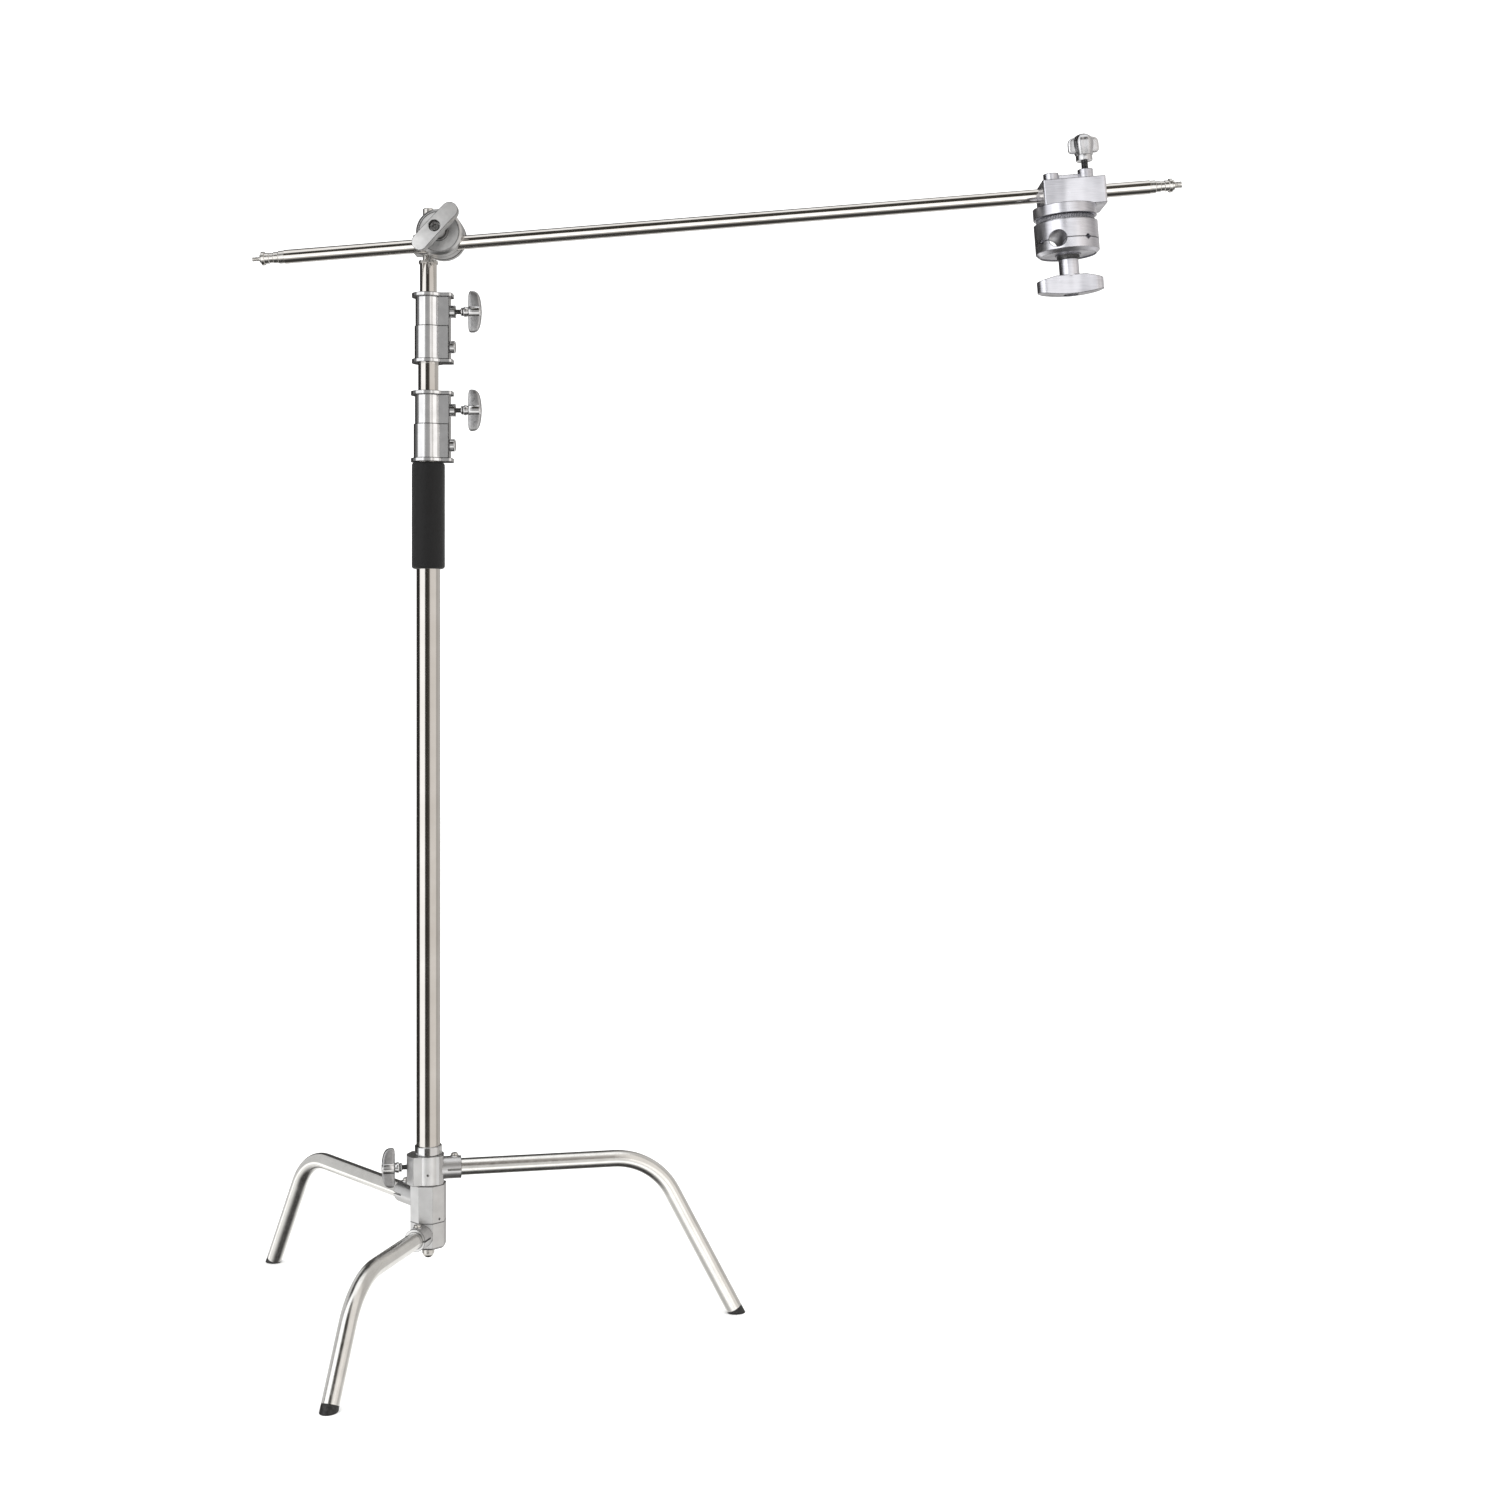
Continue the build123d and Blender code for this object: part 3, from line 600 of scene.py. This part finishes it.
# %% skin a stack of rings
def skin(name, stacks, look, body, slot, replaces, crease_deg=35.0):
    """Turns stacks of rings, each an array of rows by columns by three, into one mesh piece.

    Point j of ring i meets points j + 1 and i + 1, so faces look outwards when the rings run
    anticlockwise seen from the end that the rows run to.
    """
    points, faces, start = [], [], 0
    for rings, hollow in stacks:
        rows, columns = rings.shape[:2]
        index = start + np.arange(rows * columns).reshape(rows, columns)
        across = np.roll(index, -1, axis=1)
        last = rows if hollow else rows - 1
        following = np.roll(index, -1, axis=0)
        following_across = np.roll(across, -1, axis=0)
        quads = np.stack([index, across, following_across, following], axis=-1)[:last]
        faces.extend(quads.reshape(-1, 4).tolist())
        points.append(rings.reshape(-1, 3))
        start += rows * columns
        if not hollow:
            points.append(np.stack([rings[0].mean(axis=0), rings[-1].mean(axis=0)]))
            low_fan = np.stack([np.full(columns, start), across[0], index[0]], axis=-1)
            high_fan = np.stack([np.full(columns, start + 1), index[-1], across[-1]], axis=-1)
            faces.extend(low_fan.tolist() + high_fan.tolist())
            start += 2
    mesh = bpy.data.meshes.new(name)
    mesh.from_pydata(np.concatenate(points).tolist(), [], faces)
    mesh.shade_smooth()
    mesh.set_sharp_from_angle(angle=math.radians(crease_deg))
    mesh.materials.append(look)
    piece = bpy.data.objects.new(name, mesh)
    bpy.context.scene.collection.objects.link(piece)
    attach(piece, body)
    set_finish(piece, slot)
    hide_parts(replaces)
    return piece


print("ready to skin rings")

# %% [markdown]
# Knobs, screws and tooth rings are all made upright and in millimetres, which
# keeps their profiles easy to read. Each one then moves into the frame of the
# joint that turns it, with the joint's axis as its own upright.

# %% frames of the joints
def axes_at(joint, up=(0.0, 0.0, 1.0)):
    """The place and the three directions of a joint's own frame, with its axis as the third."""
    axis = np.array(joints[joint]["axis"], float)
    axis /= np.linalg.norm(axis)
    side = np.array(up) - axis * np.dot(up, axis)
    side /= np.linalg.norm(side)
    return np.array(joints[joint]["pos_m"], float), np.stack([side, np.cross(axis, side), axis])


def put(rings_mm, place, directions):
    """Moves rings from a local frame in millimetres to the stand's frame in metres."""
    return place + rings_mm * MM @ directions


def reach(node, place, directions):
    """How far a CAD piece goes along the third direction, lowest and highest, in millimetres."""
    mesh = nodes[node].data
    flat = np.empty(3 * len(mesh.vertices))
    mesh.vertices.foreach_get("co", flat)
    along = (flat.reshape(-1, 3) - place) @ directions[2] / MM
    return along.min(), along.max()


# %% [markdown]
# A screw thread is a turned bar whose radius dips by a small triangle wave.
# The wave's argument is the height over the pitch less the angle over a full
# turn, so the groove climbs by one pitch each time round: a true helix.

# %% turned bars and threads
ROUND = 40                     # points round a turned piece
THREAD_ROWS = 6                # rings in each pitch of a thread


def turned(profile, thread=None, columns=ROUND):
    """Rings of a turned bar through (radius, height) corners, in millimetres.

    Within the thread's stretch (low, high, pitch, depth) the radius is less by depth times a
    triangle wave of height / pitch - angle / full turn. It fades in over one pitch at each end.
    """
    radii, heights = (np.array(column, float) for column in zip(*profile))
    if thread:
        low, high, pitch, depth = thread
        fine = np.arange(low, high, pitch / THREAD_ROWS)
        keep = (heights <= low) | (heights >= high)
        rows = np.sort(np.concatenate([heights[keep], fine]))
        radii = np.interp(rows, heights, radii)
        heights = rows
    angle = np.linspace(0.0, 2 * math.pi, columns, endpoint=False)
    radius = np.repeat(radii[:, None], columns, axis=1)
    if thread:
        climb = heights[:, None] / pitch - angle / (2 * math.pi)
        wave = np.abs((climb % 1.0) * 2 - 1)
        fade = np.clip(np.minimum(heights - low, high - heights) / pitch, 0.0, 1.0)
        radius = radius - depth * wave * fade[:, None]
    height = np.repeat(heights[:, None], columns, axis=1)
    return np.stack([radius * np.cos(angle), radius * np.sin(angle), height], axis=-1)


PITCH_MM = 1.5
THREAD_MM = 0.85               # depth of the thread
CHAMFER_MM = 0.9               # how much the radius falls over the first millimetre
END_SCALE = 1.37               # size of the second head over the first one's
# each screw's radius in millimetres
SCREWS = {
    "lower_knob_screw": 3.9, "upper_knob_screw": 3.9, "base_knob_screw": 3.9,
    "pivot_lock_screw": 3.8, "end_lock_screw": 3.8 * END_SCALE,
}

for node, radius in SCREWS.items():
    place, directions = axes_at(node.replace("screw", "turn"))
    low, high = reach(node, place, directions)
    profile = [(radius - CHAMFER_MM, low), (radius, low + 1), (radius, high)]
    bar = put(turned(profile, (low + 1, high, PITCH_MM, THREAD_MM)), place, directions)
    skin(
        node + "_threaded", [(bar, False)], looks["screw_steel"], body_of_node[node], "screw_steel", node
    )
print("cut", len(SCREWS), "threads at a pitch of", PITCH_MM, "mm")

# %% [markdown]
# A wing knob is gripped between thumb and finger: a domed barrel carries the
# screw's thrust and two wings give the leverage. Each wing pair is one stack
# of rounded-rectangle rings along the span. The rings shrink to nothing at
# the tips by a high power of the span, which rounds the tips.

# %% wing knobs
def wings(span, flat, crown, tip, thick, rows=44, columns=32):
    """Rings of a wing pair, in millimetres, laid along the first direction.

    At share t of the half span the ring is a superellipse of the fourth power. Its inner side
    is flat, at height flat. Its outer side is an arc from crown in the middle down to tip, and
    its thickness falls by a quarter. All is scaled by (1 - t^10)^(1/4) towards the tips.
    """
    t = np.sin(np.linspace(-math.pi / 2, math.pi / 2, rows + 2)[1:-1])[:, None]
    closing = (1 - np.abs(t) ** 10) ** 0.25
    top = tip + (crown - tip) * np.sqrt(np.clip(1 - t ** 2, 0, 1))
    middle = (flat + top) / 2
    half_height = (top - flat) / 2 * closing
    half_thick = thick / 2 * (1 - 0.25 * t ** 2) * closing
    angle = np.linspace(0.0, 2 * math.pi, columns, endpoint=False)
    wave_a = np.sign(np.cos(angle)) * np.abs(np.cos(angle)) ** 0.5
    wave_b = np.sign(np.sin(angle)) * np.abs(np.sin(angle)) ** 0.5
    along = np.repeat(span / 2 * t, columns, axis=1)
    return np.stack([along, half_thick * wave_a, middle + half_height * wave_b], axis=-1)


# each knob's span across the wings in millimetres
COLLAR_KNOBS = {"lower_knob_wing": 61.5, "upper_knob_wing": 61.5, "base_knob_wing": 58.0}
KNOB_DEPTH = 19.6              # mm, from the wings' flat side to their crown
KNOB_TIP = 10.5                # mm, depth near the tips
KNOB_THICK = 13.6              # mm, across the wings in the middle
# radius and height corners in millimetres: beads on the neck, from the hub's start
NECK_PROFILE = [(5.2, 0.0), (6.4, 0.8), (6.6, 2.2), (5.6, 3.0), (7.4, 4.6), (7.8, 6.4), (7.4, 8.2)]
# and the domed barrel between the wings, from their flat side
BARREL_PROFILE = [
    (6.4, 1.0), (9.4, 1.2), (9.7, 2.2), (9.7, 14.0), (9.2, 17.2), (7.4, 19.0),
    (4.0, KNOB_DEPTH), (0.8, KNOB_DEPTH),
]

for node, span in COLLAR_KNOBS.items():
    place, directions = axes_at(node.replace("wing", "turn"))
    hub_start, hub_end = reach(node, place, directions)
    flat = hub_end - KNOB_DEPTH
    neck = [(radius, hub_start + height) for radius, height in NECK_PROFILE]
    hub = turned(neck + [(radius, flat + height) for radius, height in BARREL_PROFILE])
    pair = wings(span, flat, hub_end, flat + KNOB_TIP, KNOB_THICK)
    hub = put(hub, place, directions)
    pair = put(pair, place, directions)
    skin(node + "_hub", [(hub, False)], looks["chrome_plate"], body_of_node[node], "cast_knob", node)
    skin(node + "_pair", [(pair, False)], looks["cast_knob"], body_of_node[node], "cast_knob", node)
print("cast", len(COLLAR_KNOBS), "wing knobs")

# %% [markdown]
# The heads' own locks are smaller and stubbier: a facetted barrel that swells
# towards a domed end, with short wings through it and a plain collar below.

# %% lock knobs
def barrel(low, high, radius, facets=6, columns=72):
    """Rings of a facetted barrel: the radius is a swell times a dome times a ripple.

    The swell is a sine that lifts the radius from four fifths to the whole. The dome stays
    at one up to share 0.55 and then falls as the square root of one less a power of 2.6. The
    ripple is a cosine with one wave for each facet.
    """
    share = np.linspace(0.0, 1.0, 26)[:, None]
    angle = np.linspace(0.0, 2 * math.pi, columns, endpoint=False)
    swell = 0.80 + 0.20 * np.sin(math.pi * np.clip(share * 0.85, 0, 1))
    dome = np.sqrt(np.clip(1 - np.clip((share - 0.55) / 0.47, 0, 1) ** 2.6, 0, 1))
    ripple = 1 + 0.055 * np.cos(facets * angle)
    radius_at = radius * swell * dome * ripple
    height = low + (high - low) * np.repeat(share, columns, axis=1)
    return np.stack([radius_at * np.cos(angle), radius_at * np.sin(angle), height], axis=-1)


LOCK_KNOBS = {"pivot_lock_wing": 1.0, "end_lock_wing": END_SCALE}

for node, size in LOCK_KNOBS.items():
    place, directions = axes_at(node.replace("wing", "turn"), up=(1.0, 0.0, 0.0))
    low, high = reach(node, place, directions)
    collar = turned([
        (7.6 * size, low), (8.6 * size, low + 0.6), (8.8 * size, low + 1.6),
        (8.8 * size, low + 6 * size), (8.2 * size, low + 7 * size), (7.0 * size, low + 8 * size),
    ])
    middle = barrel(low + 6.5 * size, high, 11.2 * size)
    flat = low + 8.5 * size
    pair = wings(33.0 * size, flat, high - 2.5 * size, high - 6.5 * size, 7.5 * size)
    stacks = [(put(rings, place, directions), False) for rings in (collar, middle, pair)]
    skin(node + "_cast", stacks, looks["lock_knob"], body_of_node[node], "cast_knob", node)
print("cast", len(LOCK_KNOBS), "lock knobs")

# %% [markdown]
# Between a head's disc and its jaws lies a ring of fine radial teeth, which
# locks the angle. From outside only their ends show, as a row of bright and
# dark ticks. One ring of points whose radius follows a square-like wave round
# the circle gives every tooth at once.

# %% tooth rings
TOOTH_MM = 2.5                 # pitch round the ring
RING_MM = 30.5                 # radius over the teeth on the first head


def toothed(radius, low, high, depth=1.5, per_tooth=8):
    """Rings of a toothed band. The radius dips by depth times a wave of the tooth count.

    The wave is a cosine pushed towards a square by tanh, and it fades out in the top fifth,
    where the teeth grow from a solid rim.
    """
    teeth = round(2 * math.pi * radius / TOOTH_MM)
    angle = np.linspace(0.0, 2 * math.pi, teeth * per_tooth, endpoint=False)
    wave = 0.5 - 0.5 * np.tanh(2.5 * np.cos(teeth * angle)) / math.tanh(2.5)
    share = np.array([0.0, 0.06, 0.78, 0.80, 1.0])[:, None]
    inset = np.array([0.6, 0.0, 0.0, 0.0, 0.0])[:, None]
    dip = np.array([1.0, 1.0, 1.0, 0.0, 0.0])[:, None]
    radius_at = radius - inset - depth * dip * wave
    height = low + (high - low) * np.repeat(share, len(angle), axis=1)
    return np.stack([radius_at * np.cos(angle), radius_at * np.sin(angle), height], axis=-1)


# each ring's joint and its size over the first head's
RING_PLACES = {
    "pivot_tooth_ring": ("pivot_head_tilt", 1.0),
    "end_tooth_ring": ("end_head_jaw_turn", END_SCALE),
}

for node, (joint, size) in RING_PLACES.items():
    place, directions = axes_at(joint, up=(1.0, 0.0, 0.0))
    low, high = reach(node, place, directions)
    band = put(toothed(RING_MM * size, low, high), place, directions)
    slot = slot_of_node[node]
    skin(node + "_toothed", [(band, False)], looks[slot], body_of_node[node], slot, node)
print("cut the teeth of", len(RING_PLACES), "rings")

# %% [markdown]
# The grip is a foam tube, heat-shrunk over the steel: its ends are rounded and
# its outside is very slightly uneven. It is a closed loop of rings, out along
# the outside and back through the bore.

# %% foam grip
def foam_tube(outer, inner, low, high, corner, columns=96):
    """Rings of a padded tube: two quarter-circle corners outside, a straight bore inside.

    The outside swells and sinks by a tenth of a millimetre, as one slow sine wave times another.
    """
    bend = np.linspace(0.0, math.pi / 2, 9)
    edge = outer - corner
    lower = np.stack([edge + corner * np.sin(bend), low + corner - corner * np.cos(bend)], axis=-1)
    upper = np.stack([edge + corner * np.cos(bend), high - corner + corner * np.sin(bend)], axis=-1)
    side_height = np.linspace(low + corner, high - corner, 60)[1:-1]
    side = np.stack([np.full_like(side_height, outer), side_height], axis=-1)
    bore_height = np.linspace(high, low, 6)
    bore = np.stack([np.full_like(bore_height, inner), bore_height], axis=-1)
    profile = np.concatenate([lower, side, upper, bore])
    angle = np.linspace(0.0, 2 * math.pi, columns, endpoint=False)
    is_outside = profile[:, :1] > inner + 1
    uneven = 0.1 * np.sin(profile[:, 1:] / 9.0 + np.sin(angle)) * np.sin(2 * angle) * is_outside
    radius = profile[:, :1] + uneven
    height = np.repeat(profile[:, 1:], columns, axis=1)
    return np.stack([radius * np.cos(angle), radius * np.sin(angle), height], axis=-1)


GRIP_CORNER_MM = 4.5
BORE_GAP_MM = 0.02             # between the tube and the foam

low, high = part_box("grip_sleeve")
tube_low, tube_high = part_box("lower_tube")
outer_mm = (high.x - low.x) / 2 / MM
inner_mm = (tube_high.x - tube_low.x) / 2 / MM + BORE_GAP_MM
foam = foam_tube(outer_mm, inner_mm, low.z / MM, high.z / MM, GRIP_CORNER_MM)
grip = skin(
    "grip_sleeve_foam", [(foam * MM, True)], looks["grip_rubber"],
    body="column", slot="grip_rubber", replaces="grip_sleeve", crease_deg=80.0,
)
print("grip is", round((high.z - low.z) / MM), "mm long")

# %% [markdown]
# Each end of the arm has a turned fitting: a plug in the tube, a neck for a
# lamp's clamping screw, a flange and a threaded stud. The same turned-bar
# function makes both, with softened corners and a real thread.

# %% arm ends
mounts = {m["name"]: m for m in frame["record"]["mounts"]}
PLUG_MM = 30.0                 # length inside the tube
COLLAR_MM = 9.0                # length of the collar that meets the tube
FLANGE_MM = 5.0                # from the neck to the stud's root
STUD_THREAD_MM = 0.7           # depth of the thread
# mount, CAD node, then in millimetres the neck's length, the root's radius and length, the pitch
ENDS = [
    ("large_stud", "arm_large_stud", 19.0, 7.5, 3.0, 1.5875),
    ("small_stud", "arm_small_stud", 20.0, 6.0, 2.5, 1.27),
]

for mount, node, neck, root, root_length, pitch in ENDS:
    stud = mounts[mount]
    outward = np.array(stud["axis"], float)
    place = np.array(stud["pos_m"], float)
    side = np.array([0.0, 1.0, 0.0])
    directions = np.stack([side, np.cross(outward, side), outward])
    r = stud["dims"]["r_mm"]
    half = stud["dims"]["length_mm"] / 2
    flange = -half - root_length - FLANGE_MM
    shoulder = flange - neck
    tube_end = shoulder - COLLAR_MM
    waist_low = shoulder + 0.35 * neck
    waist_high = shoulder + 0.7 * neck
    fitting = turned([
        (8.5, tube_end - PLUG_MM), (8.5, tube_end), (8.9, tube_end + 0.01), (9.3, tube_end + 0.5),
        (9.3, shoulder - 0.6), (8.8, shoulder), (8.0, shoulder + 0.4), (8.0, waist_low),
        (7.2, waist_low + 0.8), (7.2, waist_high - 0.8), (8.0, waist_high), (8.0, flange - 0.2),
        (9.6, flange), (10.0, flange + 0.5), (10.0, flange + FLANGE_MM - 0.5),
        (9.5, flange + FLANGE_MM), (root, flange + FLANGE_MM + 0.1), (root, -half - 0.4),
        (root - 0.5, -half), (r, -half + 0.05), (r, half - 0.6), (r - 0.7, half),
    ], (-half + 0.3, half - 0.7, pitch, STUD_THREAD_MM), columns=48)
    fitting = put(fitting, place, directions)
    skin(
        node + "_turned", [(fitting, False)], looks["turned_steel"], "arm", "turned_steel", node
    )
print("turned", len(ENDS), "arm ends")

# %% [markdown]
# Last come the links between lights and pieces, now that every piece exists.
# The column mirrors the room's panels alone, and the arm has its own long box.
# Each other group gets upright boxes at the bearings that its visible faces
# mirror, bright enough for the grey that its metal should show.

# %% link the lights
TUBE_SLOTS = ("polished_tube", "grip_rubber", "foot_plug")
shown = [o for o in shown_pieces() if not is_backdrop(o)]
kinds = {o: slot_of_node.get(o.name, o.get("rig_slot")) for o in shown}
groups = {
    "arm": [o for o in shown if o.name.startswith("arm_")],
    "pivot": [o for o in shown if o.name.startswith("pivot_")],
    "end": [o for o in shown if o.name.startswith("end_")],
    "base": [o for o in shown if kinds[o] == "satin_casting"],
    "legs": [o for o in shown if o.name.endswith("_leg")],
    "columns": [o for o in shown if kinds[o] in TUBE_SLOTS and not o.name.endswith("_leg")],
}
grouped = [o for group in groups.values() for o in group]
groups["plated"] = [o for o in shown if o not in grouped]
# group, the place that the box faces as metres along X, two bearings in degrees, two heights
# in metres, glow
BOXES = [
    ("plated", 0.0, -14, 34, 0.0, 2.6, 0.38),
    ("plated", 0.0, -32, -14, 0.0, 2.6, 0.6),
    ("plated", 0.0, -112, -80, 0.0, 2.6, 0.17),
    ("plated", 0.0, 48, 82, 0.0, 2.6, 0.5),
    ("base", 0.0, -50, 45, -2.4, 1.2, 0.55),
    ("base", 0.0, -125, -75, -1.0, 1.6, 0.75),
    ("legs", 0.0, -55, 55, -2.4, 1.2, 0.5),
    ("legs", 0.0, -150, -85, -1.0, 2.4, 0.6),
    ("pivot", 0.03, -28, 22, 1.1, 3.2, 0.78),
    ("pivot", 0.03, -55, -28, 0.7, 2.4, 1.1),
    ("end", 0.93, -30, 34, 1.1, 3.2, 0.55),
    ("end", 0.93, -6, 20, 1.3, 3.0, 0.62),
    ("end", 0.93, -52, -30, 0.7, 2.4, 0.9),
]
lights_only(arm_box, groups["arm"])
for number, (group, centre, start, end, low, high, glow) in enumerate(BOXES):
    lights_only(panel_box(f"{group}_box_{number}", centre, start, end, low, high, glow), groups[group])
print("lit", {name: len(group) for name, group in groups.items()})
